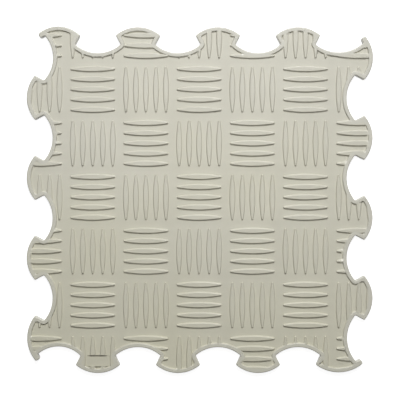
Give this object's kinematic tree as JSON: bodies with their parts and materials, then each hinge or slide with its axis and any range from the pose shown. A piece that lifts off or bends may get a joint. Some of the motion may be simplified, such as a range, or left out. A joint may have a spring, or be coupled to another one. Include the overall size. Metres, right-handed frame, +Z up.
{
  "type": "sensory mat tile",
  "caption": "Interlocking soft-plastic floor mat tile with dovetail tabs and sockets on every side and a checkerboard of raised lens-shaped ribs inside a raised rim.",
  "frame": {"origin": "middle of the underside", "axes": "+Z up through the ribbed face, +Y towards the side drawn as the top, +X to the right seen from above"},
  "size_m": [0.3, 0.3002, 0.006],
  "materials": {
    "soft_plastic": "satin moulded soft plastic"
  },
  "bodies": {
    "root": {"mat_tile": "soft_plastic"}
  },
  "joints": []
}
